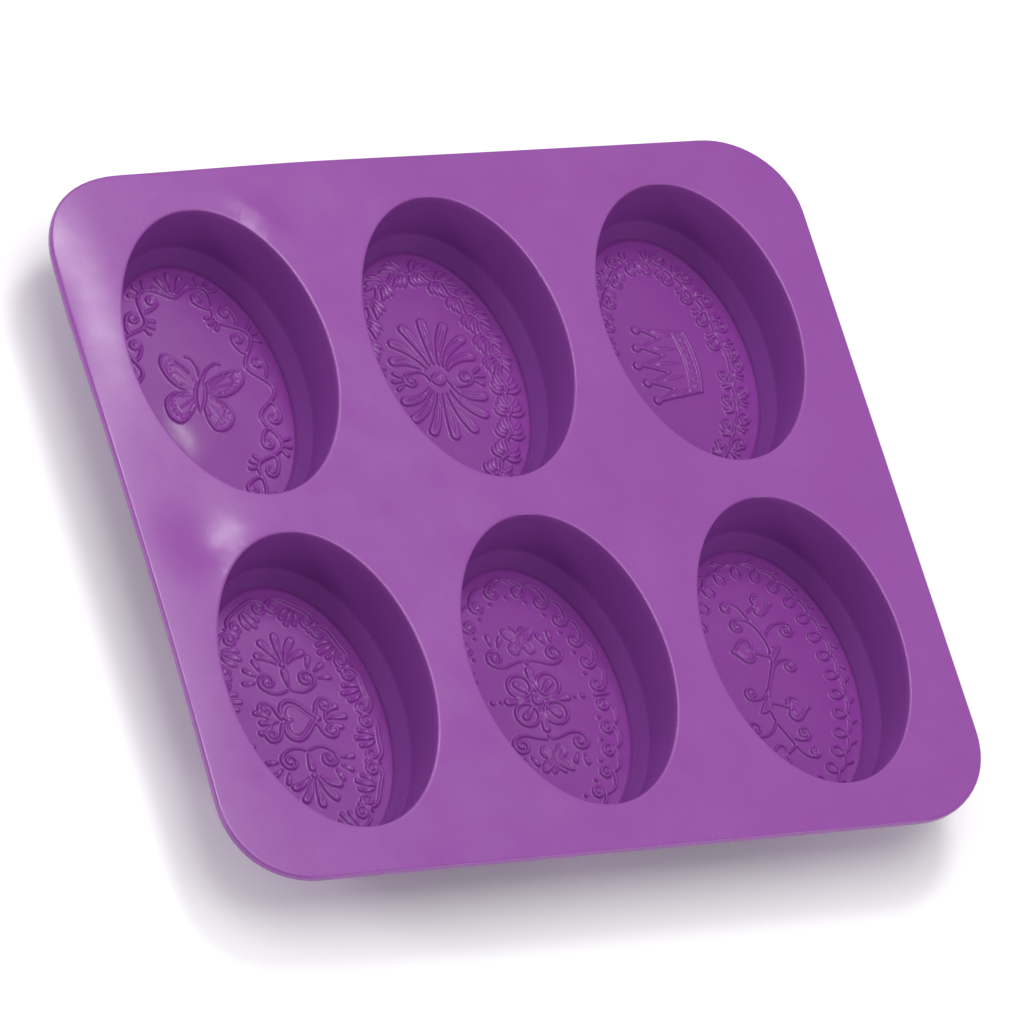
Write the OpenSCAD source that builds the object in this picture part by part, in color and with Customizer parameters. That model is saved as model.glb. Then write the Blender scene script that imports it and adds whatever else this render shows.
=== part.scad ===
// Silicone soap mould: a flat deck with six oval cups hanging below it, each with a raised
// decoration on its floor.
// Frame: millimetres, +Z up, +Y along the ovals' long axis, origin under the middle of the
// tray on the surface that it rests on.

/* [Deck] */
// Width of the deck, across the three columns
deck_w = 210; // [206:1:220]
// Length of the deck, along the two rows
deck_l = 198; // [194:1:208]
// Thickness of the deck
deck_t = 2.2; // [1.6:0.1:3]
// Radius of the deck's corners
corner_r = 23; // [12:1:30]

/* [Cavities] */
// Distance between columns
pitch_x = 65.5; // [64:0.5:67]
// Distance between rows
pitch_y = 92; // [90:0.5:94]
// Width of a cavity's mouth
mouth_w = 54; // [50:0.5:55]
// Length of a cavity's mouth
mouth_l = 81; // [76:0.5:82]
// Depth of a cavity, from the deck's top to its floor
cavity_d = 22; // [18:0.5:28]
// Inward draft of the upright wall
wall_draft = 0.6; // [0.2:0.1:1.5]
// Height of the bevel between the upright wall and the floor
bevel_h = 5.6; // [4:0.2:8]
// Inward run of that bevel
bevel_run = 2.6; // [1.5:0.1:4]

/* [Skin] */
// Thickness of the cup walls
wall_t = 1.8; // [1.4:0.1:2.5]
// Height of a cavity's floor above the surface that the tray rests on
base_t = 2; // [1.5:0.1:3]
// How far a floor is recessed above that surface
base_recess = 0.3; // [0.2:0.1:0.6]
// Running gap between a floor and the ring around it
base_gap = 0.3; // [0.2:0.05:0.5]

/* [Decoration] */
// Height of the raised lines
relief_h = 0.7; // [0.3:0.1:1]
// Width of the raised lines
ridge_w = 1.1; // [0.8:0.1:1.3]
// Number of scrolls around each floor
scroll_count = 18; // [14:2:20]
// Outer radius of one scroll
scroll_r = 2.9; // [2:0.1:3]

/* [Hidden] */
CAVITIES = ["butterfly", "plume", "crown", "heart", "garland", "vine"];
REGIONS = ["collar", "wall", "heel", "floor", "border", "motif"];

COLUMNS = 3;
sides = 72;
corner_steps = 12;
spiral_steps = 14;
deck_top = cavity_d + base_t;
deck_under = deck_top - deck_t;
heel_top = base_t + bevel_h;
mouth = [mouth_w / 2, mouth_l / 2];
wall_foot = mouth - [wall_draft, wall_draft];
floor_edge = wall_foot - [bevel_run, bevel_run];
skin = [wall_t, wall_t];
gap = [base_gap, base_gap];
border_track = floor_edge - [6.2, 6.2];

deck_colour = [0.62, 0.37, 0.68];
wall_colour = [0.48, 0.25, 0.54];
heel_colour = [0.52, 0.29, 0.58];
floor_colour = [0.50, 0.27, 0.57];
relief_colour = [0.66, 0.42, 0.72];

// ---- layout ----

function column(c) = c % COLUMNS - 1;
function row(c) = c < COLUMNS ? 1 : -1;
function centre(c) = [column(c) * pitch_x, row(c) * pitch_y / 2];

// ---- plane curves, as lists of points ----

function oval(semi) = [for (i = [0:sides - 1]) [semi[0] * cos(360 * i / sides), semi[1] * sin(360 * i / sides)]];

// An arc of radius r about a centre, from angle a0 to a1
function arc(centre, r, a0, a1, steps) =
    [for (i = [0:steps]) let (a = a0 + (a1 - a0) * i / steps) centre + r * [cos(a), sin(a)]];

// A spiral about a centre, from radius r0 at angle a0 to radius r1 after the given turns
function spiral(centre, r0, r1, a0, turns) =
    [for (i = [0:spiral_steps])
        let (t = i / spiral_steps, a = a0 + 360 * turns * t, r = r0 + (r1 - r0) * t)
        centre + r * [cos(a), sin(a)]];

function reversed(p) = [for (i = [len(p) - 1:-1:0]) p[i]];
function moved(p, by) = [for (q = p) q + by];

// The direction of a path at its point i
function along(p, i) =
    let (d = p[min(i + 1, len(p) - 1)] - p[max(i - 1, 0)]) d / norm(d);

// The points beside a path at distance w
function beside(p, w) = [for (i = [0:len(p) - 1]) let (d = along(p, i)) p[i] + w * [-d[1], d[0]]];

// A pointed leaf between two points, swelling to half-width w
function leaf(from, to, w) =
    let (d = to - from, n = [-d[1], d[0]] / norm(d))
    concat([for (i = [0:8]) from + d * i / 8 + n * w * sin(180 * i / 8)],
           [for (i = [7:-1:1]) from + d * i / 8 - n * w * sin(180 * i / 8)]);

// A heart of the given size whose point looks along -X
function heart(size) =
    [for (i = [0:35]) let (a = 10 * i)
        size / 17 * [13 * cos(a) - 5 * cos(2 * a) - 2 * cos(3 * a) - cos(4 * a), 16 * pow(sin(a), 3)]];

// ---- solids ----

// A ring-shaped solid: rings is a closed profile of [semi-axes, height] pairs
module oval_ring(rings) {
    n = len(rings);
    points = [for (r = rings) for (q = oval(r[0])) [q[0], q[1], r[1]]];
    faces = [for (k = [0:n - 1]) for (i = [0:sides - 1])
        let (i2 = (i + 1) % sides, k2 = (k + 1) % n)
        [k * sides + i, k2 * sides + i, k2 * sides + i2, k * sides + i2]];
    polyhedron(points, faces, convexity = 4);
}

// A raised line along a path, standing on the floor
module ridge(p, w = ridge_w) {
    linear_extrude(relief_h) polygon(concat(beside(p, w / 2), reversed(beside(p, -w / 2))));
}

// A raised flat shape, standing on the floor
module pad(outline) {
    linear_extrude(relief_h) polygon(outline);
}

module at_floor(c) {
    translate([centre(c)[0], centre(c)[1], base_t]) children();
}

// ---- the tray's regions ----

// The outline of the deck round one cavity: a rectangle whose outer corner is rounded
function collar_outline(c) =
    let (x0 = column(c) == 0 ? -pitch_x / 2 : pitch_x / 2, x1 = column(c) == 0 ? pitch_x / 2 : deck_w / 2,
         r = corner_r, y1 = deck_l / 2,
         corner = arc([x1 - r, y1 - r], r, 0, 90, corner_steps),
         right = concat([[x0, 0], [x1, 0]], column(c) == 0 ? [[x1, y1]] : corner, [[x0, y1]]),
         flip_x = column(c) < 0 ? -1 : 1)
    [for (q = right) [flip_x * q[0], row(c) * q[1]]];

module collar(c) {
    color(deck_colour) translate([0, 0, deck_under]) linear_extrude(deck_t) difference() {
        polygon(collar_outline(c));
        translate(centre(c)) polygon(oval(mouth));
    }
}

module wall(c) {
    color(wall_colour) translate(centre(c)) oval_ring([
        [mouth, deck_under], [wall_foot, heel_top], [wall_foot + skin, heel_top], [mouth + skin, deck_under]]);
}

// The bevel at the foot of a cup, and the ring under it that the tray stands on
module heel(c) {
    color(heel_colour) translate(centre(c)) oval_ring([
        [wall_foot, heel_top], [floor_edge + gap, base_t], [floor_edge + gap, 0],
        [floor_edge + skin, 0], [wall_foot + skin, heel_top]]);
}

module floor_plate(c) {
    color(floor_colour) translate([centre(c)[0], centre(c)[1], base_recess])
        linear_extrude(base_t - base_recess) polygon(oval(floor_edge));
}

// A ring of scrolls that follows the floor's oval, mirrored left to right
module border(c) {
    color(relief_colour) at_floor(c) for (i = [0:scroll_count - 1]) {
        a = 360 * (i + 0.5) / scroll_count;
        hand = cos(a) > 0 ? 1 : -1;
        where = [border_track[0] * cos(a), border_track[1] * sin(a)];
        ridge(spiral(where, scroll_r, 0.9, a, hand * 1.1));
    }
}

// ---- the six motifs, each composed by rule from stock ornament ----

module both_ways() {
    children();
    mirror([0, 1]) children();
}

module four_ways() {
    both_ways() {
        children();
        mirror([1, 0]) children();
    }
}

// A butterfly seen from above, its head along +Y
module butterfly(size) {
    pad(leaf(size * [0, -4.6], size * [0, 5.4], size * 1.1));
    for (s = [-size, size]) {
        pad(leaf([s * 0.5, size * 1.2], [s * 11, size * 8.4], size * 2.8));
        pad(leaf([s * 0.5, -size * 0.6], [s * 8.2, -size * 8.4], size * 2.7));
    }
}

module butterfly_motif() {
    rotate([0, 0, -18]) {
        butterfly(1);
        for (s = [-1, 1]) ridge([[s * 0.5, 5], [s * 1.5, 8], [s * 3.6, 10.6]], 0.8);
    }
}

// Two palmettes back to back about a boss, with a curl at each side
module plume() {
    pad(arc([0, 0], 1.8, 0, 330, 11));
    both_ways() for (a = [-60:20:60]) {
        reach = [sin(a), cos(a)];
        pad(leaf([0, 1.5] + 3 * reach, [0, 1.5] + 13.5 * cos(0.6 * a) * reach, 0.95));
    }
    ridge(spiral([7.6, 0], 2.4, 0.8, 180, 1), 0.9);
    ridge(spiral([-7.6, 0], 2.4, 0.8, 0, 1), 0.9);
}

// A plain crown of five points, lying so that it stands upright on a bar held sideways
module crown() {
    ridge(arc([-28, 0], 35.2, -15, 15, 12), 1.8);
    for (k = [-2:2]) {
        tip = [-8.4 + 1.3 * abs(k), 5.2 * k];
        pad(leaf([5, 3.6 * k], tip, 1.8));
        pad(arc(tip - [1.7, 0], 1.1, 0, 330, 11));
    }
}

// A heart between pairs of curls, with a sprig at each end
module heart_motif() {
    mirror([1, 0]) linear_extrude(relief_h) difference() {
        polygon(heart(5.6));
        polygon(heart(4.3));
    }
    four_ways() ridge(spiral([4.6, 11.4], 2.6, 0.8, 180, -1), 0.9);
    both_ways() for (a = [-40, 0, 40])
        pad(leaf([0, 16.2] + [sin(a), cos(a)], [0, 16.2] + 7 * [sin(a), cos(a)], 0.9));
}

// Four loops round a boss, with a small butterfly at each end
module garland() {
    pad(arc([0, 0], 1.3, 0, 330, 11));
    for (a = [45:90:315]) ridge(arc(5.2 * [cos(a), sin(a)], 2.8, a - 150, a + 150, 14));
    both_ways() translate([0, 14.4]) butterfly(0.36);
    four_ways() ridge(spiral([8.2, 12.4], 2.3, 0.8, -90, 1), 0.9);
    for (s = [-1, 1]) pad(leaf([s * 9.4, 0], [s * 13.4, 0], 1.3));
}

// A waving stem with heart-shaped leaves in its hollows and tendrils beside it
module vine() {
    ridge([for (y = [-24:1.5:24]) [2.6 * sin(360 * y / 32), y]]);
    for (s = [-1, 1]) {
        rotate([0, 0, s > 0 ? 0 : 180]) {
            pad(moved(heart(2.8), [-3.6, 8]));
            ridge(spiral([7.4, 3.4], 2.3, 0.8, 180, -1), 0.9);
            ridge(spiral([7.4, 16.6], 2.3, 0.8, 180, 1), 0.9);
            ridge(spiral([-7.6, 17.4], 2.3, 0.8, 0, -1), 0.9);
        }
    }
}

module motif(c) {
    color(relief_colour) at_floor(c) {
        if (c == 0) butterfly_motif();
        if (c == 1) plume();
        if (c == 2) crown();
        if (c == 3) heart_motif();
        if (c == 4) garland();
        if (c == 5) vine();
    }
}

for (c = [0:len(CAVITIES) - 1]) {
    collar(c);
    wall(c);
    heel(c);
    floor_plate(c);
    border(c);
    motif(c);
}
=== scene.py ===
import math

import bmesh
import bpy
import numpy as np
from mathutils import Matrix, Vector
from mathutils.geometry import delaunay_2d_cdt


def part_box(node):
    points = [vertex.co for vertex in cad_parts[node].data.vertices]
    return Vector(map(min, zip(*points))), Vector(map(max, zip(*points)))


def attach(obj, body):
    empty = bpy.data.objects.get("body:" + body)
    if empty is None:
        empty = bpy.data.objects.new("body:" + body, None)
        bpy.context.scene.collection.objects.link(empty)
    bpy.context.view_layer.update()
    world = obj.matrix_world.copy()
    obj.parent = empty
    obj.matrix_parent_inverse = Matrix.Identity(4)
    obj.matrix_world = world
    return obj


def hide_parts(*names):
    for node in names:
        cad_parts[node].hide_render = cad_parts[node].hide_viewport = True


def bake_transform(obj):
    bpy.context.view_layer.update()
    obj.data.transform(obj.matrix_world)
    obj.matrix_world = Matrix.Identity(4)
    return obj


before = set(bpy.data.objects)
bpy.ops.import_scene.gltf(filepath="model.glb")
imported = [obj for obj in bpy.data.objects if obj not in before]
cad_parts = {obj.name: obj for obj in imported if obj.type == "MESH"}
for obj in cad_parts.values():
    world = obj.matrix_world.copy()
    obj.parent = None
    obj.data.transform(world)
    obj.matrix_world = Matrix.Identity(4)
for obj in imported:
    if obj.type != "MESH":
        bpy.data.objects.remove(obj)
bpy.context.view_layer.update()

# A silicone soap mould. Sizes below are in millimetres and are made metres by MM.
MM = 0.001

CUPS = ("butterfly", "plume", "crown", "heart", "garland", "vine")
WALL = 1.8            # thickness of a cup's wall
CORNER = 23.0         # radius of the deck's corners
MOUTH_ROUND = 0.45    # rounding of a mouth's edge
RIM_ROUND = 0.6       # rounding of the deck's outer edge
FLAT = 0.35           # width of the level strip beside each rounding
GROOVE = 0.3          # depth of the fine groove round a floor, and half its width
SAG = 1.5             # how far the deck's -X margin droops
BOW = 1.7             # how far the deck's -X edge is drawn in at most
PULL = 1.3            # how far its +Y edge is drawn in at the -X end
MARGIN = 12.0         # width of the strip along an edge that gives way when it is drawn in
ROUND_STEPS = 5       # facets of each rounding
LOOP = 256            # points round an oval
LINE = 0.95           # width of the decoration's lines
FINE = 0.72           # width of its thin lines
EDGE = 0.42           # width of the slope at a raised edge, at most
RASTER = 0.1          # step of the height map that the decoration is drawn on
STROKE = 0.14         # distance between the discs that make up a line
TAPER = 0.35          # share of a line's length over which its ends narrow
BEND_STEPS = 12       # BEND_STEPS = 12 # points between two given points of a curve
EYE = 0.4             # radius at which a curl ends
SWING = 0.7           # how far past the tangent a scroll's stalk joins its curl, in radians
SHEET_STEP = 3.0      # distance between the points inside the deck
MOUTH_CLEAR = 3.4     # distance that they keep from a mouth
GRID_U, GRID_V = 220, 344   # cells across and along a floor


# ---------------------------------------------------------------- the frame's own dimensions

def span(node):
    """A node's lowest and highest corners, in millimetres."""
    lo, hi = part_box(node)
    return np.array(lo) / MM, np.array(hi) / MM


def cup_size(cup):
    """Where one cup stands and the half axes of its ovals, read from its CAD nodes."""
    wall_lo, wall_hi = span(cup + "_wall")
    heel_lo, heel_hi = span(cup + "_heel")
    floor_lo, floor_hi = span(cup + "_floor")
    return {
        "centre": (wall_lo[:2] + wall_hi[:2]) / 2,
        "mouth": (wall_hi[:2] - wall_lo[:2]) / 2 - WALL,
        "foot": (heel_hi[:2] - heel_lo[:2]) / 2 - WALL,
        "floor": (floor_hi[:2] - floor_lo[:2]) / 2,
        "under": wall_hi[2],
        "heel_top": heel_hi[2],
        "floor_top": floor_hi[2],
        "floor_low": floor_lo[2],
        "relief": span(cup + "_motif")[1][2] - floor_hi[2],
    }


SIZES = {cup: cup_size(cup) for cup in CUPS}
DECK_TOP = span("plume_collar")[1][2]
DECK_UNDER = span("plume_collar")[0][2]
DECK_HALF = np.max([span(cup + "_collar")[1][:2] for cup in CUPS], axis=0)


# ---------------------------------------------------------------- plane curves

def smooth(t):
    """A soft step from 0 to 1."""
    t = np.clip(t, 0, 1)
    return t * t * (3 - 2 * t)


def bend(*points):
    """A smooth curve through given points."""
    p = np.array(points, float)
    p = np.vstack([2 * p[0] - p[1], p, 2 * p[-1] - p[-2]])
    out = []
    for a, b, c, d in zip(p[:-3], p[1:-2], p[2:-1], p[3:]):
        t = np.linspace(0, 1, BEND_STEPS, endpoint=False)[:, None]
        square = 2 * a - 5 * b + 4 * c - d
        cube = 3 * b - a - 3 * c + d
        out.append(0.5 * (2 * b + (c - a) * t + square * t**2 + cube * t**3))
    return np.vstack(out + [p[-2:-1]])


def closed(*points):
    """A smooth closed outline through given points."""
    path = bend(*(points[-2:] + points + points[:2]))
    return path[2 * BEND_STEPS:(len(points) + 2) * BEND_STEPS + 1]


def curl(centre, start, turns):
    """A spiral that begins at start and winds inwards round centre. Positive turns run anticlockwise."""
    centre, start = np.array(centre, float), np.array(start, float)
    arm = start - centre
    radius, angle = np.hypot(*arm), math.atan2(arm[1], arm[0])
    t = np.linspace(0, 1, max(16, int(abs(turns) * 40)))
    r = radius + (EYE - radius) * t
    a = angle + 2 * math.pi * turns * t
    return centre + np.stack([r * np.cos(a), r * np.sin(a)], 1)


def scroll(foot, go, hub, radius, turns):
    """A line that leaves foot in direction go and runs smoothly into a spiral round hub."""
    foot, go, hub = (np.array(v, float) for v in (foot, go, hub))
    hand = math.copysign(1, turns)
    arm = foot - hub
    away = np.hypot(*arm)
    a = math.atan2(arm[1], arm[0]) + hand * (math.acos(min(1, radius / away)) + SWING)
    meet = hub + radius * np.array([math.cos(a), math.sin(a)])
    pull = 0.45 * np.hypot(*(meet - foot))
    near = foot + pull * go / np.hypot(*go)
    far = meet - pull * hand * np.array([-math.sin(a), math.cos(a)])
    t = np.linspace(0, 1, 24)[:, None]
    lead = (1 - t) ** 3 * foot + 3 * t * (1 - t) ** 2 * near + 3 * t**2 * (1 - t) * far + t**3 * meet
    return np.vstack([lead, curl(hub, meet, turns)])


def ring(x, y, r):
    """A circle."""
    a = np.linspace(0, 2 * math.pi, 40)
    return np.stack([x + r * np.cos(a), y + r * np.sin(a)], 1)


def heart(x, y, size, point=1):
    """A heart whose point looks along +X, or along -X if point is -1."""
    a = np.linspace(0, 2 * math.pi, 72)
    k = size / 17
    across = 13 * np.cos(a) - 5 * np.cos(2 * a) - 2 * np.cos(3 * a) - np.cos(4 * a)
    return np.stack([x - point * k * across, y + k * 16 * np.sin(a) ** 3], 1)


def turned(path, degrees, scale=1.0, at=(0, 0)):
    """A path scaled, turned anticlockwise and moved."""
    a = math.radians(degrees)
    spin = np.array([[math.cos(a), math.sin(a)], [-math.sin(a), math.cos(a)]])
    return np.asarray(path, float) @ spin * scale + np.array(at, float)


def toward(degrees):
    """The unit vector at an angle from +Y, clockwise."""
    a = math.radians(degrees)
    return np.array([math.sin(a), math.cos(a)])


def even(path, step):
    """The same path with its points a step apart, and how far along it each one lies, from 0 to 1."""
    path = np.asarray(path, float)
    leg = np.hypot(*np.diff(path, axis=0).T)
    at = np.concatenate([[0], np.cumsum(leg)])
    n = max(2, int(at[-1] / step) + 1)
    s = np.linspace(0, at[-1], n)
    return np.stack([np.interp(s, at, path[:, 0]), np.interp(s, at, path[:, 1])], 1), s / at[-1]


# ---------------------------------------------------------------- the height map

class Relief:
    """Raised decoration on a floor: a height for each point of a fine raster."""

    def __init__(self, half):
        self.x = np.arange(-half[0] - 1, half[0] + 1, RASTER)
        self.y = np.arange(-half[1] - 1, half[1] + 1, RASTER)
        self.h = np.zeros((len(self.y), len(self.x)))
        self.flips = [(1, 1)]

    def window(self, lo, hi):
        """The raster's rows and columns between two corners."""
        i = np.searchsorted(self.x, [lo[0], hi[0]])
        j = np.searchsorted(self.y, [lo[1], hi[1]])
        return slice(*j), slice(*i)

    def line(self, path, width=LINE, height=1.0, taper=(1, 1)):
        """A ridge along a path. taper is the share of the width kept at each end."""
        for fx, fy in self.flips:
            p, t = even(np.asarray(path) * (fx, fy), STROKE)
            keep = np.minimum(1, taper[0] + (1 - taper[0]) * np.minimum(1, t / TAPER))
            keep = np.minimum(keep, taper[1] + (1 - taper[1]) * np.minimum(1, (1 - t) / TAPER))
            self.brush(p, width / 2 * np.maximum(keep, 0.05), height)

    def leaf(self, a, b, half, bow=0.0, height=1.0, carve=False):
        """A pointed leaf from a to b, of half width half, bowed sideways by a share of its length."""
        for path in self.blades(a, b, bow):
            p, s = even(path, STROKE)
            self.brush(p, half * np.sin(np.pi * np.clip(s, 0.03, 0.97)) ** 0.8, height, carve)

    def petal(self, a, b, half, bow=0.0, vein=True):
        """A lobe that widens from a to its round tip at b, with a groove along its middle."""
        for path in self.blades(a, b, bow):
            p, s = even(path, STROKE)
            self.brush(p, half * (0.3 + 0.7 * np.sin(np.pi / 2 * s)))
            if vein:
                inner = (s > 0.3) & (s < 0.94)
                self.brush(p[inner], 0.42 * half * np.sin(np.pi * (s[inner] - 0.25) / 0.75), 0.55, True)

    def blades(self, a, b, bow):
        """The bowed middle lines from a to b, one for each flip."""
        a, b = np.array(a, float), np.array(b, float)
        side = np.array([-(b - a)[1], (b - a)[0]])
        t = np.linspace(0, 1, 40)[:, None]
        path = a + (b - a) * t + side * bow * 4 * t * (1 - t)
        return [path * flip for flip in self.flips]

    def dot(self, x, y, r, height=1.0, carve=False):
        """A round boss, or a round hollow if carved."""
        for fx, fy in self.flips:
            self.brush(np.array([[x * fx, y * fy]]), np.array([r]), height, carve)

    def brush(self, p, radius, height=1.0, carve=False):
        """Raises or carves discs along a path: flat in the middle, with a slope of at most EDGE round it."""
        # a raised path is drawn in short stretches, and a carved one at once, as cuts that overlap add up
        chunk = len(p) if carve else 10
        for k in range(0, len(p), chunk):
            q, r = p[k:k + chunk + 1], radius[k:k + chunk + 1]
            rows, cols = self.window(q.min(0) - r.max() - RASTER, q.max(0) + r.max() + 2 * RASTER)
            gx, gy = np.meshgrid(self.x[cols], self.y[rows])
            if not gx.size:
                continue
            d = np.hypot(gx[..., None] - q[:, 0], gy[..., None] - q[:, 1])
            dome = smooth(((r - d) / np.minimum(EDGE, 0.55 * r)).max(-1))
            part = self.h[rows, cols]
            self.h[rows, cols] = part * (1 - height * dome) if carve else np.maximum(part, height * dome)

    def pad(self, outline, height=0.7):
        """A raised area with softened edges."""
        for fx, fy in self.flips:
            q = np.asarray(outline) * (fx, fy)
            rows, cols = self.window(q.min(0) - 0.6, q.max(0) + 0.6)
            gx, gy = np.meshgrid(self.x[cols], self.y[rows])
            inside = np.zeros(gx.shape, bool)
            for (x0, y0), (x1, y1) in zip(q, np.roll(q, -1, axis=0)):
                if y0 != y1:
                    inside ^= ((y0 > gy) != (y1 > gy)) & (gx < (x1 - x0) * (gy - y0) / (y1 - y0) + x0)
            self.h[rows, cols] = np.maximum(self.h[rows, cols], height * blurred(inside.astype(float), 2))

    def heights(self, x, y):
        """The height at any points, read between the raster's own."""
        h = blurred(self.h, 1)
        u = np.clip((x - self.x[0]) / RASTER, 0, len(self.x) - 1.001)
        v = np.clip((y - self.y[0]) / RASTER, 0, len(self.y) - 1.001)
        i, j = u.astype(int), v.astype(int)
        fu, fv = u - i, v - j
        low = h[j, i] * (1 - fu) + h[j, i + 1] * fu
        high = h[j + 1, i] * (1 - fu) + h[j + 1, i + 1] * fu
        return low * (1 - fv) + high * fv


def blurred(h, rounds):
    """The heights softened by the neighbours on each side."""
    for _ in range(rounds):
        p = np.pad(h, 1, mode="edge")
        h = (p[1:-1, :-2] + 2 * p[1:-1, 1:-1] + p[1:-1, 2:]) / 4
        p = np.pad(h, 1, mode="edge")
        h = (p[:-2, 1:-1] + 2 * p[1:-1, 1:-1] + p[2:, 1:-1]) / 4
    return h


ALL_FOUR = [(1, 1), (-1, 1), (1, -1), (-1, -1)]
UP_DOWN = [(1, 1), (1, -1)]
ONCE = [(1, 1)]


def fan(r, root, angles, near, far, half, bow=0.0):
    """Petals that spread from one root, each from the near to the far distance, the outer ones shorter."""
    root = np.array(root, float)
    for angle in angles:
        reach = far * math.cos(math.radians(0.6 * angle))
        r.petal(root + near * toward(angle), root + reach * toward(angle), half, bow * angle / 60)


class Quarter:
    """A track round a quarter of a floor, from its +Y end to its +X side, for laying a border along."""

    def __init__(self, half, inset):
        # it runs past both ends, so that what stands near them can reach over
        a = np.radians(np.linspace(130, -40, 500))
        axes = np.array(half) - inset
        self.p = np.stack([axes[0] * np.cos(a), axes[1] * np.sin(a)], 1)
        normal = np.stack([np.cos(a) / axes[0], np.sin(a) / axes[1]], 1)
        self.n = -normal / np.linalg.norm(normal, axis=1)[:, None]
        s = np.concatenate([[0], np.cumsum(np.hypot(*np.diff(self.p, axis=0).T))])
        self.s = s - np.interp(-math.pi / 2, -a, s)
        self.length = np.interp(0, -a, self.s)

    def lay(self, path):
        """Points given as distance along the track and distance inwards, put on the floor."""
        q = np.atleast_2d(np.asarray(path, float))
        at = [np.interp(q[:, 0], self.s, column) for column in (*self.p.T, *self.n.T)]
        return np.stack([at[0] + at[2] * q[:, 1], at[1] + at[3] * q[:, 1]], 1)

    def spot(self, x, y):
        """One such point."""
        return self.lay([(x, y)])[0]


def wave(length, pitch, height):
    """A waving line that starts and ends on a crest, so that its mirror images join it smoothly."""
    x = np.linspace(0, length, 160)
    return np.stack([x, height * np.cos(math.pi * x / pitch)], 1)


# ---------------------------------------------------------------- borders

def rinceau(r, track, count, height):
    """A waving stem that rolls into a curl in each of its hollows, with petals on all but its last crest."""
    pitch = track.length / count
    r.line(track.lay(wave(track.length, pitch, height)), LINE)
    for k in range(1, count):
        side = 1 if k % 2 == 0 else -1
        hub = (k * pitch - 0.2, -0.35 * side * height)
        r.line(track.lay(scroll(((k + 0.5) * pitch, 0), (0.8, -side), hub, 0.62 * height, -1.3 * side)), LINE)
        r.dot(*track.spot(*hub), 0.65)
        if k == count - 1:
            continue
        for lean in (-1, 0, 1):
            root = track.spot(k * pitch + 1.1 * lean, side * (height - 0.25 * abs(lean)))
            tip = track.spot(k * pitch + 2.3 * lean, side * (height + 2.2 - 0.5 * abs(lean)))
            r.petal(root, tip, 0.62, vein=False)


def running_curls(r, track, count, size):
    """One curl after another, all rolling the same way, like breaking waves."""
    pitch = track.length / count
    for k in range(count):
        x = (k + 0.5) * pitch
        hub = (x + 0.05 * pitch, 0.1)
        crest = scroll((x - 0.86 * pitch, -0.55 * size), (0.7, -1), hub, 0.86 * size, 1.5)
        r.line(track.lay(crest), LINE, taper=(0.4, 1))
        r.dot(*track.spot(*hub), 0.6)
        r.dot(*track.spot(x - 0.5 * pitch, 1.0 * size), 0.55)


def leaf_band(r, track, count, length):
    """A wavy stem that carries pairs of leaves."""
    pitch = track.length / count
    r.line(track.lay(wave(track.length, pitch / 2, 0.6)), LINE)
    for k in range(count):
        x = (k + 0.2) * pitch
        for side in (1, -1):
            for j, reach in enumerate((1.0, 0.8, 0.55)):
                foot = track.spot(x + 0.9 * j, 0.3 * side)
                tip = track.spot(x + 1.6 + 1.8 * j, side * (0.5 + length * reach))
                r.leaf(foot, tip, 0.85, -0.16 * side)


def double_curls(r, track, count, size):
    """A straight stem with curls that roll away from it on both sides, and petals between them."""
    pitch = track.length / count
    r.line(track.lay(wave(track.length, pitch, 0.35)), FINE)
    for k in range(count):
        for row, side in enumerate((1, -1)):
            x = (k + 0.4 * row) * pitch
            hub = (x + 0.36 * pitch, side * 1.25 * size)
            branch = scroll((x, 0), (1, 0.1 * side), hub, 0.85 * size, 1.35 * side)
            r.line(track.lay(branch), FINE, taper=(0.7, 1))
            r.dot(*track.spot(*hub), 0.5)
            for lean in (-1, 0, 1):
                root = track.spot(x + 0.3 * lean, 0.4 * side)
                tip = track.spot(x + 1.15 * lean, side * (3.1 - 0.6 * abs(lean)))
                r.petal(root, tip, 0.48, vein=False)


def loop_ribbon(r, track, count, size):
    """A cursive line that loops back over itself, with a small leaf beside each loop."""
    turns = np.linspace(0, count, 70 * count)
    x = track.length * turns / count - size * 1.15 * np.sin(2 * math.pi * turns)
    y = size * np.cos(2 * math.pi * turns)
    r.line(track.lay(np.stack([x, y], 1)), FINE)
    for k in range(count):
        x = (k + 0.5) * track.length / count
        r.petal(track.spot(x, -size), track.spot(x + 1.5, -size - 1.5), 0.45, vein=False)


def c_scrolls(r, track, count):
    """Pairs of curls that turn towards a fan of petals between them."""
    pitch = track.length / count
    for k in range(count):
        x = (k + 0.5) * pitch
        for side in (1, -1):
            r.line(track.lay(scroll((x, -2.3), (side, 0), (x + side * 4.6, 0.0), 1.9, side * 1.5)), LINE)
            r.dot(*track.spot(x + side * 4.6, 0.0), 0.6)
            r.petal(track.spot(x + side * 0.8, -0.9), track.spot(x + side * 2.2, 2.7), 0.75, side * 0.1)
        r.petal(track.spot(x, -0.9), track.spot(x, 3.7), 0.8)
    for k in range(1, count):
        r.petal(track.spot(k * pitch, -2.2), track.spot(k * pitch, 1.6), 0.7)


# ---------------------------------------------------------------- middles

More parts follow.
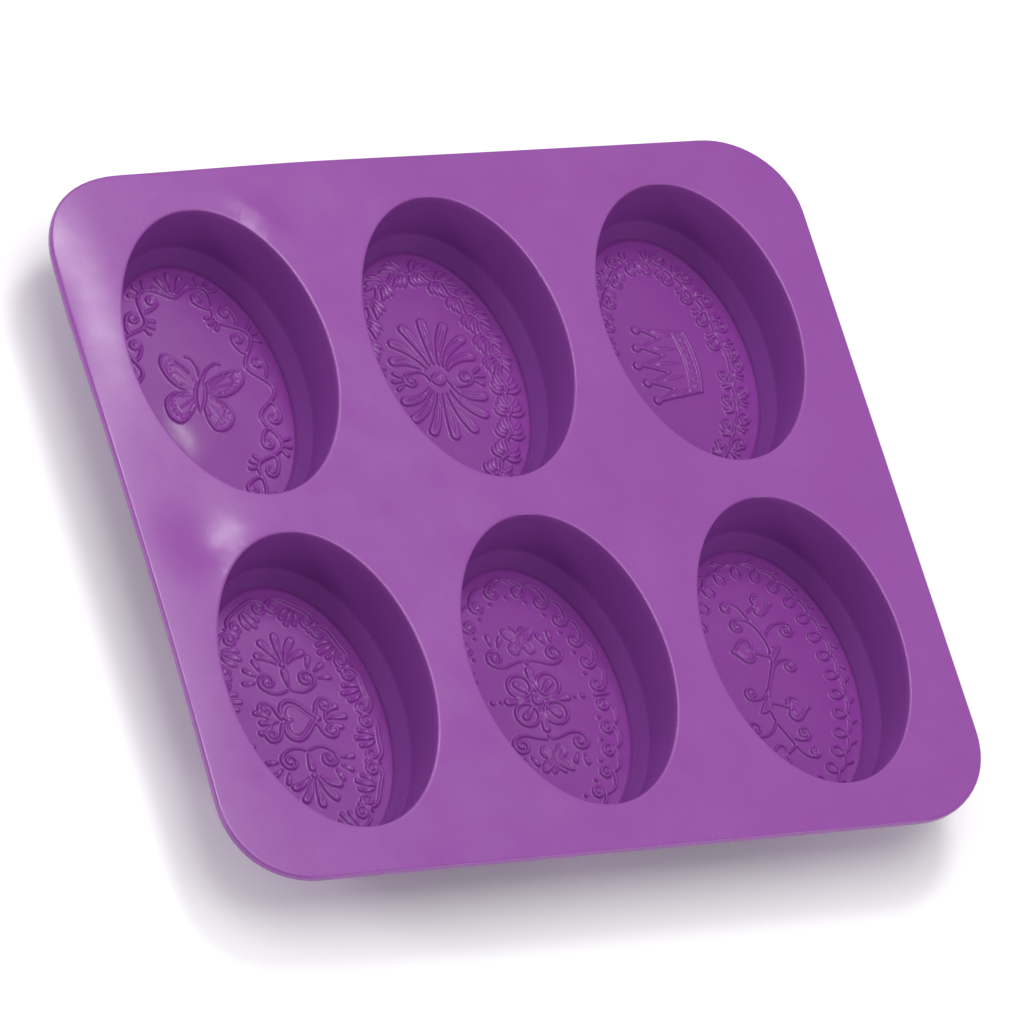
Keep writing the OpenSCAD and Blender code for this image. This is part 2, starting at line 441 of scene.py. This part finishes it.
def draw_butterfly(r, at, degrees, scale, veins=5):
    """A plain butterfly seen from above, the same on both sides of its body."""
    fore = closed((0.5, 1.3), (2.6, 5.0), (6.6, 8.6), (10.8, 10.0),
                  (11.6, 7.2), (9.6, 3.6), (6.4, 1.2), (3.0, 0.6))
    hind = closed((0.6, 0.1), (3.6, -0.2), (7.4, -1.4), (9.4, -4.6),
                  (8.2, -8.4), (5.2, -9.8), (3.0, -7.6), (1.4, -3.6))
    detailed = veins > 3

    def placed(path, side=1):
        """Points of the butterfly, put where it stands; side -1 mirrors them."""
        return turned(np.asarray(path) * (side, 1), degrees, scale, at)

    for side in (1, -1):
        for wing, root in ((fore, (0.6, 1.4)), (hind, (0.6, -0.2))):
            root = np.array(root)
            r.pad(placed(wing, side), 0.5)
            r.line(placed(wing, side), 0.9 * scale ** 0.4)
            for tip in wing[np.linspace(14, len(wing) - 15, veins).astype(int)]:
                r.line(placed([root, root + 0.64 * (tip - root)], side), 0.55)
            if not detailed:
                continue
            for point in wing[np.linspace(20, len(wing) - 28, 10).astype(int)]:
                a, b = placed([root + 0.72 * (point - root), root + 0.87 * (point - root)], side)
                r.leaf(a, b, 0.5, height=0.9, carve=True)
        r.line(placed(bend((0.4, 5.0), (1.2, 8.2), (3.4, 10.8), (4.8, 10.9)), side), 0.65)
    a, b = placed([(0, -6.4), (0, 6.6)])
    r.leaf(a, b, 2.0 * scale ** 0.7, height=0.9, carve=True)
    a, b = placed([(0, -5.4), (0, 5.8)])
    r.leaf(a, b, 1.25 * scale ** 0.7)


def butterfly_relief(r, half):
    """A large butterfly, with a fan of petals at each end."""
    r.flips = ALL_FOUR
    rinceau(r, Quarter(half, 6.6), 5, 2.6)
    r.flips = UP_DOWN
    fan(r, (0, half[1] - 9.5), (-56, -28, 0, 28, 56), 2.0, 6.8, 0.8)
    r.flips = ONCE
    draw_butterfly(r, (-0.4, 0), -18, 0.93)


def plume_relief(r, half):
    """Two palmettes back to back about a boss, with a curl on each side."""
    r.flips = ALL_FOUR
    leaf_band(r, Quarter(half, 6.0), 6, 3.6)
    r.flips = UP_DOWN
    fan(r, (0, 1.0), range(-66, 67, 22), 3.6, 15.4, 1.5, 0.12)
    r.flips = ONCE
    for s in (1, -1):
        r.line(scroll((s * 2.4, 0), (0.2 * s, -s), (s * 7.6, 0), 2.1, 1.5), LINE)
        r.dot(s * 7.6, 0, 0.8)
        for tip in ((12.6, 0), (11.8, 2.3), (11.8, -2.3)):
            r.petal((s * 9.7, s * tip[1] * 0.35), (s * tip[0], s * tip[1]), 0.7, vein=False)
    r.dot(0, 0, 2.1)
    r.dot(0, 0, 1.3, 0.5, carve=True)


def crown_relief(r, half):
    """A plain crown of five points, upright on a bar held sideways."""
    r.flips = ALL_FOUR
    double_curls(r, Quarter(half, 6.8), 5, 1.9)
    r.flips = ONCE
    edge = []
    for k in range(-2, 3):
        edge.append((-7.6 + 1.3 * abs(k), 5.2 * k))
        if k < 2:
            edge.append((-0.4, 5.0 * (k + 0.5)))
    outline = [(6.8, -8.6)] + edge + [(6.8, 8.6)]
    rim = bend((6.8, 8.6), (7.6, 4.3), (7.9, 0), (7.6, -4.3), (6.8, -8.6))
    r.pad(np.vstack([outline, rim]), 0.5)
    r.line(outline, 0.9, 0.95)
    r.line(rim, 1.3)
    r.line((rim - (2.9, 0)) * (1, 0.95), 0.8, 0.95)
    for x, y in edge[::2]:
        r.dot(x - 1.3, y, 1.35)
    for k in range(-3, 4):
        r.dot(6.2 - 0.05 * k * k, 2.3 * k, 0.75)
    for k in range(-2, 3):
        r.leaf((3.2, 3.9 * k), (-3.4 + 0.7 * abs(k), 4.7 * k), 0.75, height=0.95)


def heart_relief(r, half):
    """A heart between pairs of curls, with a sprig at each end."""
    r.flips = ALL_FOUR
    c_scrolls(r, Quarter(half, 5.8), 3)
    r.line(scroll((0.4, 8.4), (1, -0.5), (5.2, 11.0), 2.4, 1.5), LINE, taper=(0.6, 1))
    r.dot(5.2, 11.0, 0.7)
    for angle in (20, 55, 90):
        r.petal((5.2, 11.0) + 3.3 * toward(angle), (5.2, 11.0) + 6.2 * toward(angle), 0.8)
    r.line(scroll((-4.4, 0.8), (-0.7, 1), (-8.0, 3.5), 1.9, 1.4), LINE)
    r.dot(-8.0, 3.5, 0.6)
    r.petal((7.2, 0.4), (10.8, 2.8), 0.85, 0.14)
    r.flips = UP_DOWN
    r.petal((0, 9.4), (0, 13.4), 1.0)
    fan(r, (0, 14.8), (-60, -30, 0, 30, 60), 1.8, 8.4, 1.15, 0.1)
    r.dot(0, 15.4, 0.9)
    r.flips = ONCE
    r.line(heart(0.0, 0, 5.8), 1.15)
    r.pad(heart(0.1, 0, 4.2), 0.6)
    r.petal((7.2, 0), (12.4, 0), 0.95)
    r.petal((-5.4, 0), (-9.8, 0), 0.95)


def garland_relief(r, half):
    """Four loops round a boss, with a small butterfly between curls at each end."""
    r.flips = ALL_FOUR
    track = Quarter(half, 6.2)
    running_curls(r, track, 6, 2.2)
    r.petal(track.spot(track.length, -2.2), track.spot(track.length, 1.6), 0.6, vein=False)
    r.line(scroll((0.5, 11.0), (1, 0.0), (8.0, 12.4), 2.4, 1.5), LINE, taper=(0.6, 1))
    r.dot(8.0, 12.4, 0.7)
    for angle in (-28, 4):
        r.petal((8.0, 12.4) + 3.4 * toward(angle), (8.0, 12.4) + 6.0 * toward(angle), 0.8)
    r.flips = ONCE
    for angle in (45, 135, 225, 315):
        r.line(ring(*(5.6 * toward(angle)), 3.1), LINE)
        r.petal(2.6 * toward(angle), 6.4 * toward(angle), 1.15)
    for angle in (0, 90, 180, 270):
        r.petal(2.4 * toward(angle), 8.2 * toward(angle), 1.15)
        r.dot(*(10.2 * toward(angle)), 0.55)
    for x in (12.4, -12.4):
        r.dot(x, 0, 0.8)
    r.dot(0, 0, 1.7)
    r.dot(0, 0, 1.0, 0.5, carve=True)
    draw_butterfly(r, (0, 16.4), 0, 0.36, 3)
    draw_butterfly(r, (0, -16.4), 180, 0.36, 3)


def vine_relief(r, half):
    """A waving stem with heart-shaped leaves in its hollows and tendrils beside it."""
    r.flips = ALL_FOUR
    loop_ribbon(r, Quarter(half, 6.0), 7, 2.2)
    r.flips = ONCE

    def stem(y):
        """How far the stem is from the floor's middle line."""
        return 2.6 * math.sin(2 * math.pi * y / 32)

    r.line([(stem(y), y) for y in np.linspace(-19.2, 19.2, 90)], LINE)
    for half_turn in (0, 180):
        for x, y, size in ((-4.8, 8.6, 3.4), (3.8, 21.2, 3.0)):
            side = math.copysign(1, x)
            stalk = bend((stem(y - 2.4), y - 2.4), (x - side * 2.9, y - 0.8), (x - side * 1.6, y))
            r.line(turned(heart(x, y, size, side), half_turn), LINE)
            r.pad(turned(heart(x, y, size * 0.7, side), half_turn), 0.6)
            r.line(turned(stalk, half_turn), FINE)
        for y, side, size in ((1.6, 1, 1.9), (11.6, 1, 2.2), (13.8, -1, 1.9), (19.2, -1, 1.5)):
            hub = (stem(y) + side * 3.0 * size, y + 1.8)
            tendril = scroll((stem(y), y), (0.6 * side, 1), hub, size, -1.6 * side)
            r.line(turned(tendril, half_turn), FINE, taper=(1, 0.7))
            r.dot(*turned([hub], half_turn)[0], 0.5)
        foot, tip = turned([(stem(4.9), 4.9), (stem(4.9) + 3.4, 9.0)], half_turn)
        r.leaf(foot, tip, 1.3, 0.14)
        r.leaf(foot, tip, 0.3, 0.14, height=0.6, carve=True)


RELIEFS = {
    "butterfly": butterfly_relief,
    "plume": plume_relief,
    "crown": crown_relief,
    "heart": heart_relief,
    "garland": garland_relief,
    "vine": vine_relief,
}


# ---------------------------------------------------------------- meshes

def new_piece(name, verts, faces, material, rounded=True):
    """A mesh object from points in millimetres."""
    mesh = bpy.data.meshes.new(name)
    mesh.from_pydata((np.asarray(verts) * MM).tolist(), [], [list(map(int, f)) for f in faces])
    mesh.validate()
    mesh.update()
    piece = bpy.data.objects.new(name, mesh)
    bpy.context.scene.collection.objects.link(piece)
    mesh.materials.append(material)
    if rounded:
        mesh.polygons.foreach_set("use_smooth", [True] * len(mesh.polygons))
    return piece


def oval(size, centre, out=0.0):
    """A loop of points on an oval, moved outwards along its normal."""
    a = np.linspace(0, 2 * math.pi, LOOP, endpoint=False)
    on = np.stack([size[0] * np.cos(a), size[1] * np.sin(a)], 1)
    normal = np.stack([np.cos(a) / size[0], np.sin(a) / size[1]], 1)
    normal /= np.linalg.norm(normal, axis=1)[:, None]
    return centre + on + out * normal


def deck_outline(inset):
    """The deck's rounded outline, with a point every few millimetres, moved inwards."""
    half, r = DECK_HALF - inset, CORNER - inset
    points = []
    for sx, sy, start in ((1, 1, 0), (-1, 1, 90), (-1, -1, 180), (1, -1, 270)):
        a = np.radians(start + np.linspace(0, 90, 25))
        corner = np.array([sx, sy]) * (half - r)
        points.append(corner + r * np.stack([np.cos(a), np.sin(a)], 1))
    whole = np.vstack(points + [points[0][:1]])
    return even(whole, 2.4)[0][:-1]


def strip(rows):
    """Faces of a band between loops of equal length, given each loop's first index."""
    faces = []
    for (a, n), (b, _) in zip(rows[:-1], rows[1:]):
        i = np.arange(n)
        j = (i + 1) % n
        faces += np.stack([a + i, b + i, b + j, a + j], 1).tolist()
    return faces


def flat_sheet(outer, holes, z, up):
    """A flat sheet with holes, filled with a grid of points so that it can be gently warped."""
    loops = [outer] + holes
    points = [p for loop in loops for p in loop]
    edges, first = [], 0
    for loop in loops:
        n = len(loop)
        edges += [(first + i, first + (i + 1) % n) for i in range(n)]
        first += n
    gx, gy = np.meshgrid(*[np.arange(-half, half, SHEET_STEP) for half in DECK_HALF])
    grid = np.stack([gx.ravel(), gy.ravel()], 1)
    rim = np.abs(grid) - (DECK_HALF - CORNER)
    clear = np.hypot(*np.maximum(rim, 0).T) <= CORNER - SHEET_STEP
    for cup in CUPS:
        s = SIZES[cup]
        q = (grid - s["centre"]) / (s["mouth"] + MOUTH_CLEAR)
        clear &= (q**2).sum(1) > 1
    points += list(grid[clear])
    verts, _, faces, sources, _, _ = delaunay_2d_cdt([Vector(p) for p in points], edges, [], 0, 1e-6)
    verts = np.array([tuple(v) for v in verts])
    # faces with every corner on one hole's loop only fill that hole, so they are left out
    hole_of = [(s[0] - len(outer)) // LOOP if s and len(outer) <= s[0] < first else -1 for s in sources]
    faces = [f for f in faces if hole_of[f[0]] < 0 or len({hole_of[i] for i in f}) > 1]
    if not up:
        faces = [list(reversed(f)) for f in faces]
    return np.column_stack([verts, np.full(len(verts), z)]), faces


# shallow dents: place, radius and depth, which is negative for a bulge
DENTS = (
    (-87, -6, 7.6, 1.0),         # in the deck, between the rows
    (-48, 82.5, 4.6, -0.7),      # in the deck, beside a mouth
    (-79.5, 33.5, 5.2, 1.3),     # in a floor
)
RIPPLE = 0.10                    # height of the deck's slow ripple
RIPPLE_X, RIPPLE_Y = 31, 27      # its length along X and Y, divided by 2 pi
SAG_WIDTH = 15                   # width of the margin that droops
SAG_AT, SAG_LENGTH = 62, 24      # where it droops most, and how far that spreads
BOW_AT, BOW_LENGTH = -35, 75     # where the -X edge is drawn in most, and how far that spreads
PULL_FROM, PULL_LENGTH = 20, 75  # where the +Y edge starts to be drawn in, and over what length


def dents(x, y):
    """How far the dents lower a surface."""
    total = 0
    for at_x, at_y, radius, depth in DENTS:
        total = total + depth * np.exp(-((x - at_x) ** 2 + (y - at_y) ** 2) / radius**2)
    return total


def droop(x, y):
    """How far soft silicone sags or lifts from flat, nothing at all next to a mouth."""
    clear = np.full(len(x), np.inf)
    for cup in CUPS:
        s = SIZES[cup]
        away = np.hypot((x - s["centre"][0]) / s["mouth"][0], (y - s["centre"][1]) / s["mouth"][1]) - 1
        clear = np.minimum(clear, away * s["mouth"].min())
    free = smooth((clear - 0.4) / 4)
    margin = np.clip((-x - DECK_HALF[0] + SAG_WIDTH) / SAG_WIDTH, 0, 1) ** 2
    along = np.exp(-((y - SAG_AT) / SAG_LENGTH) ** 2)
    ripple = RIPPLE * np.sin(x / RIPPLE_X + 0.6) * np.cos(y / RIPPLE_Y - 0.4)
    return free * (ripple - dents(x, y)) - SAG * margin * (0.10 + 0.90 * along) * smooth(clear / 5)


def drawn_in(x, y):
    """How far each point shifts sideways where the soft deck's edges are drawn in a little."""
    side = np.clip((-x - DECK_HALF[0] + MARGIN) / MARGIN, 0, 1) ** 2
    back = np.clip((y - DECK_HALF[1] + MARGIN) / MARGIN, 0, 1) ** 2
    bow = BOW * side * np.exp(-((y - BOW_AT) / BOW_LENGTH) ** 2)
    pull = PULL * back * smooth((-x - PULL_FROM) / PULL_LENGTH)
    return np.stack([bow, -pull], 1)


def make_deck(material):
    """The deck: a flat sheet with rounded outer edges and rounded mouths."""
    quarter = np.linspace(0, math.pi / 2, ROUND_STEPS + 1)
    # along a quarter circle: how far in from the edge and how far below the top, as shares of its radius
    turns = [(1 - math.sin(a), 1 - math.cos(a)) for a in quarter]
    holes = [oval(SIZES[cup]["mouth"], SIZES[cup]["centre"], MOUTH_ROUND + FLAT) for cup in CUPS]
    top_v, top_f = flat_sheet(deck_outline(RIM_ROUND + FLAT), holes, DECK_TOP, True)
    low_holes = [oval(SIZES[cup]["mouth"], SIZES[cup]["centre"]) for cup in CUPS]
    low_v, low_f = flat_sheet(deck_outline(RIM_ROUND + FLAT), low_holes, DECK_UNDER, False)
    verts, faces = [top_v, low_v], list(top_f)
    faces += [[i + len(top_v) for i in f] for f in low_f]
    total = len(top_v) + len(low_v)

    def band(loops, flip):
        """Adds the skin between loops of equal length, each at its own height."""
        nonlocal total
        rows = []
        for loop, z in loops:
            verts.append(np.column_stack([loop, np.full(len(loop), z)]))
            rows.append((total, len(loop)))
            total += len(loop)
        faces.extend([f[::-1] for f in strip(rows)] if flip else strip(rows))

    edge = [(deck_outline(RIM_ROUND + FLAT), DECK_TOP)]
    edge += [(deck_outline(RIM_ROUND * a), DECK_TOP - RIM_ROUND * b) for a, b in turns]
    edge += [(deck_outline(RIM_ROUND * b), DECK_UNDER + RIM_ROUND * a) for a, b in turns]
    edge.append((deck_outline(RIM_ROUND + FLAT), DECK_UNDER))
    edge = [(reseat(loop, edge[0][0]), z) for loop, z in edge]
    band(edge, False)
    for cup in CUPS:
        s = SIZES[cup]
        loops = [(oval(s["mouth"], s["centre"], MOUTH_ROUND + FLAT), DECK_TOP)]
        loops += [(oval(s["mouth"], s["centre"], MOUTH_ROUND * a), DECK_TOP - MOUTH_ROUND * b)
                  for a, b in turns]
        loops.append((oval(s["mouth"], s["centre"]), DECK_UNDER))
        band(loops, True)
    verts = np.vstack(verts)
    verts[:, 2] += droop(verts[:, 0], verts[:, 1])
    verts[:, :2] += drawn_in(verts[:, 0], verts[:, 1])
    deck = new_piece("deck", verts, faces, material)
    weld(deck)
    return deck


def reseat(loop, model):
    """The loop's points, as many as the model loop has."""
    whole = np.vstack([loop, loop[:1]])
    at = np.concatenate([[0], np.cumsum(np.hypot(*np.diff(whole, axis=0).T))])
    other = np.vstack([model, model[:1]])
    along = np.concatenate([[0], np.cumsum(np.hypot(*np.diff(other, axis=0).T))])
    s = along[:-1] / along[-1] * at[-1]
    return np.stack([np.interp(s, at, whole[:, 0]), np.interp(s, at, whole[:, 1])], 1)


def weld(piece):
    """Joins points that coincide and shades all but the sharp edges smooth."""
    bm = bmesh.new()
    bm.from_mesh(piece.data)
    bmesh.ops.remove_doubles(bm, verts=bm.verts, dist=0.00001)
    bmesh.ops.recalc_face_normals(bm, faces=bm.faces)
    bm.to_mesh(piece.data)
    bm.free()
    piece.data.polygons.foreach_set("use_smooth", [True] * len(piece.data.polygons))
    piece.data.set_sharp_from_angle(angle=math.radians(40))


def cup_profile(s):
    """Half axes and height of each loop of a cup's skin: down its inside, under its foot and up again."""
    under, heel, base = s["under"], s["heel_top"], s["floor_top"]
    draft, slope = s["foot"] - s["mouth"], s["floor"] - s["foot"]
    inner = [(s["mouth"] + draft * t, under + (heel - under) * t) for t in np.linspace(0, 0.97, 15)]
    # a soft break between the wall and the bevel
    inner += [(s["foot"] - 0.02, heel - 0.15), (s["foot"] - 0.12, heel - 0.65)]
    inner += [(s["foot"] + slope * t ** 1.1, heel + (base - heel) * t) for t in np.linspace(0.22, 1, 10)]
    inner += [(s["floor"], base - 1.0), (s["floor"], 0.12), (s["floor"] + 0.12, 0.0)]
    outer = [(s["floor"] + WALL - 0.3, 0.0), (s["floor"] + WALL, 0.3)]
    outer += [(s["floor"] + WALL - slope * t, heel * t) for t in np.linspace(0.1, 0.95, 8)]
    outer += [(s["foot"] + WALL, heel + 0.3)]
    outer += [(s["foot"] + WALL - draft * t, heel + (under - heel) * t) for t in np.linspace(0.08, 1, 12)]
    return inner + outer


def make_cup(cup, material):
    """One cup's wall, bevel and foot ring, as a closed skin of even thickness."""
    s = SIZES[cup]
    verts, rows = [], []
    for size, z in cup_profile(s):
        loop = oval(size, s["centre"])
        rows.append((len(rows) * LOOP, LOOP))
        verts.append(np.column_stack([loop, np.full(LOOP, z)]))
    rows.append(rows[0])
    piece = new_piece(cup + "_cup", np.vstack(verts), strip(rows), material)
    weld(piece)
    return piece


def grid_faces(shape):
    """The faces between a grid's points, and its outermost points in order."""
    index = np.arange(shape[0] * shape[1]).reshape(shape)
    corners = index[:-1, :-1], index[:-1, 1:], index[1:, 1:], index[1:, :-1]
    border = np.concatenate([index[0, :-1], index[:-1, -1], index[-1, :0:-1], index[:0:-1, 0]])
    return np.stack([c.ravel() for c in corners], 1).tolist(), border


def sharpen(piece, points):
    """Makes the edges between the given points sharp."""
    chosen = np.zeros(len(piece.data.vertices), bool)
    chosen[points] = True
    ends = np.empty(2 * len(piece.data.edges), int)
    piece.data.edges.foreach_get("vertices", ends)
    piece.data.edges.foreach_set("use_edge_sharp", chosen[ends.reshape(-1, 2)].all(1))


def make_floor(cup, material):
    """One cup's floor with its raised decoration, as a fine mesh that ends exactly on the oval."""
    s = SIZES[cup]
    half, centre = s["floor"], s["centre"]
    u, v = np.meshgrid(np.linspace(-1, 1, GRID_U + 1), np.linspace(-1, 1, GRID_V + 1))
    x = half[0] * u * np.sqrt(1 - v**2 / 2)
    y = half[1] * v * np.sqrt(1 - u**2 / 2)
    relief = Relief(half)
    RELIEFS[cup](relief, half)
    rim = (1 - np.hypot(x / half[0], y / half[1])) * half[0]
    z = s["floor_top"] + s["relief"] * relief.heights(x, y) - GROOVE * smooth(1 - rim / (2 * GROOVE))
    z -= dents(x + centre[0], y + centre[1]) * smooth(rim / 3)
    top = np.stack([x.ravel() + centre[0], y.ravel() + centre[1], z.ravel()], 1)
    faces, border = grid_faces(x.shape)
    low = top[border].copy()
    low[:, 2] = s["floor_low"]
    first, n = len(top), len(border)
    for i in range(n):
        j = (i + 1) % n
        faces.append([border[i], first + i, first + j, border[j]])
    faces.append([first + i for i in range(n - 1, -1, -1)])
    piece = new_piece(cup + "_floor_skin", np.vstack([top, low]), faces, material)
    piece.data.polygons[len(faces) - 1].use_smooth = False
    sharpen(piece, border)
    return piece


# ---------------------------------------------------------------- materials

def node(tree, kind, **values):
    """A new shader node with its sockets or settings filled in."""
    n = tree.nodes.new(kind)
    for key, value in values.items():
        if key in n.inputs:
            n.inputs[key].default_value = value
        else:
            setattr(n, key, value)
    return n


def texture(tree, kind, output, **values):
    """What a texture gives at each point of the object."""
    n = node(tree, kind, **values)
    tree.links.new(node(tree, "ShaderNodeTexCoord").outputs["Object"], n.inputs["Vector"])
    return n.outputs[output]


def carried(tree, value, source, target):
    """A value carried from its range to another one."""
    n = node(tree, "ShaderNodeMapRange")
    for socket, number in zip(("From Min", "From Max", "To Min", "To Max"), (*source, *target)):
        n.inputs[socket].default_value = number
    tree.links.new(value, n.inputs["Value"])
    return n.outputs["Result"]


def silicone(name, colour, rough, ior=1.43):
    """Moulded silicone: faint cloudiness in colour and gloss, fine grain, a few specks."""
    material = bpy.data.materials.new(name)
    material.use_nodes = True
    tree = material.node_tree
    shader = tree.nodes["Principled BSDF"]
    shader.inputs["IOR"].default_value = ior

    cloud = texture(tree, "ShaderNodeTexNoise", "Fac", Scale=26.0, Detail=3.0, Roughness=0.55)
    tint = node(tree, "ShaderNodeValToRGB")
    for stop, position, share in zip(tint.color_ramp.elements, (0.3, 0.7), (0.975, 1.025)):
        stop.position = position
        stop.color = (*[c * share for c in colour], 1)
    tree.links.new(cloud, tint.inputs["Fac"])

    speck = texture(tree, "ShaderNodeTexVoronoi", "Distance", Scale=90.0, Randomness=1.0)
    mix = node(tree, "ShaderNodeMix", data_type="RGBA")
    mix.inputs["B"].default_value = (colour[0] * 0.55, colour[1] * 0.45, colour[2] * 0.6, 1)
    tree.links.new(carried(tree, speck, (0.012, 0.028), (0.40, 0.0)), mix.inputs["Factor"])
    tree.links.new(tint.outputs["Color"], mix.inputs["A"])
    tree.links.new(mix.outputs["Result"], shader.inputs["Base Color"])

    smear = texture(tree, "ShaderNodeTexNoise", "Fac", Scale=60.0, Detail=4.0, Roughness=0.6)
    gloss = carried(tree, smear, (0.3, 0.7), (rough - 0.05, rough + 0.06))
    tree.links.new(gloss, shader.inputs["Roughness"])

    grain = texture(tree, "ShaderNodeTexNoise", "Fac", Scale=1400.0, Detail=2.0, Roughness=0.5)
    bump = node(tree, "ShaderNodeBump", Strength=0.10, Distance=0.0001)
    tree.links.new(grain, bump.inputs["Height"])
    tree.links.new(bump.outputs["Normal"], shader.inputs["Normal"])
    return material


def plain(name, colour, rough):
    """An even material, for the table."""
    material = bpy.data.materials.new(name)
    material.use_nodes = True
    shader = material.node_tree.nodes["Principled BSDF"]
    shader.inputs["Base Color"].default_value = (*colour, 1)
    shader.inputs["Roughness"].default_value = rough
    return material


PURPLE = (0.236, 0.056, 0.294)
# the cups' walls take the deck's purple made darker: painted shade for the walls down inside the cups
SHADED_WALL_PURPLE = (0.208, 0.048, 0.278)
# the floors take the deck's purple made darker: painted shade for the floors at the bottom of the cups
SHADED_FLOOR_PURPLE = (0.230, 0.040, 0.290)
DECK_SILICONE = silicone("deck_silicone", PURPLE, 0.25)
CUP_SHADED_SILICONE = silicone("cup_silicone", SHADED_WALL_PURPLE, 0.31)
BASE_SHADED_SILICONE = silicone("base_silicone", SHADED_FLOOR_PURPLE, 0.25, ior=1.38)


# ---------------------------------------------------------------- the mould

deck = make_deck(DECK_SILICONE)
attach(deck, "tray")
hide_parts(*[cup + "_collar" for cup in CUPS])

for cup in CUPS:
    skin = make_cup(cup, CUP_SHADED_SILICONE)
    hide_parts(cup + "_wall", cup + "_heel")
    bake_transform(skin)
    base = make_floor(cup, BASE_SHADED_SILICONE)
    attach(base, cup + "_base")
    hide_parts(cup + "_floor", cup + "_border", cup + "_motif")


# ---------------------------------------------------------------- camera, floor and light

AZIMUTH, ELEVATION, ROLL = math.radians(-46.94), math.radians(52.60), math.radians(-36.11)
DISTANCE = 2103.9
AIM = Vector((-3.3, -4.6, DECK_TOP))
LENS = 299.1
TABLE_HALF, TABLE_TOP = 3000, -0.4


def direction(azimuth, elevation):
    """The unit vector from the object towards something at that azimuth and elevation."""
    level = math.cos(elevation)
    return Vector((math.sin(azimuth) * level, -math.cos(azimuth) * level, math.sin(elevation)))


def make_camera():
    """The camera, which looks at the mould at an angle and is rolled about its own axis."""
    back = direction(AZIMUTH, ELEVATION)
    level = (-back).cross(Vector((0, 0, 1))).normalized()
    drop = (-back).cross(level)
    right = math.cos(ROLL) * level + math.sin(ROLL) * drop
    up = back.cross(right)
    data = bpy.data.cameras.new("camera")
    data.lens = LENS
    data.sensor_width = 36.0
    data.clip_start = 0.05
    data.clip_end = 20.0
    camera = bpy.data.objects.new("camera", data)
    place = Matrix((right, up, back)).transposed().to_4x4()
    place.translation = (AIM + back * DISTANCE) * MM
    camera.matrix_world = place
    bpy.context.scene.collection.objects.link(camera)
    bpy.context.scene.camera = camera


def soft_light(name, azimuth, elevation, distance, size, watts):
    """A square white lamp that faces the mould, placed in degrees and metres."""
    data = bpy.data.lights.new(name, "AREA")
    data.size = size
    data.energy = watts
    light = bpy.data.objects.new(name, data)
    light.location = direction(math.radians(azimuth), math.radians(elevation)) * distance
    light.rotation_euler = light.location.to_track_quat("Z", "Y").to_euler()
    bpy.context.scene.collection.objects.link(light)


def make_studio():
    """A white table just below the mould, and soft lamps above it and low on its sides."""
    corners = [(x * TABLE_HALF, y * TABLE_HALF, 0) for x, y in ((-1, -1), (1, -1), (1, 1), (-1, 1))]
    white = plain("table_white", (0.93, 0.93, 0.93), 0.9)
    table = new_piece("table", corners, [(0, 1, 2, 3)], white, rounded=False)
    table.location.z = TABLE_TOP * MM
    world = bpy.data.worlds.new("studio")
    bpy.context.scene.world = world
    world.use_nodes = True
    sky = world.node_tree.nodes["Background"]
    sky.inputs["Color"].default_value = (1, 1, 1, 1)
    sky.inputs["Strength"].default_value = 0.5
    soft_light("overhead", 0, 90, 2.4, 1.6, 24)
    soft_light("key", 160, 64, 1.5, 0.34, 6)
    soft_light("side", -100, 26, 1.6, 0.3, 4.5)
    soft_light("far_left", -150, 18, 1.8, 0.8, 5.5)
    soft_light("right", 25, 18, 1.6, 0.5, 5)
    bpy.context.scene.view_settings.view_transform = "Standard"


make_camera()
make_studio()
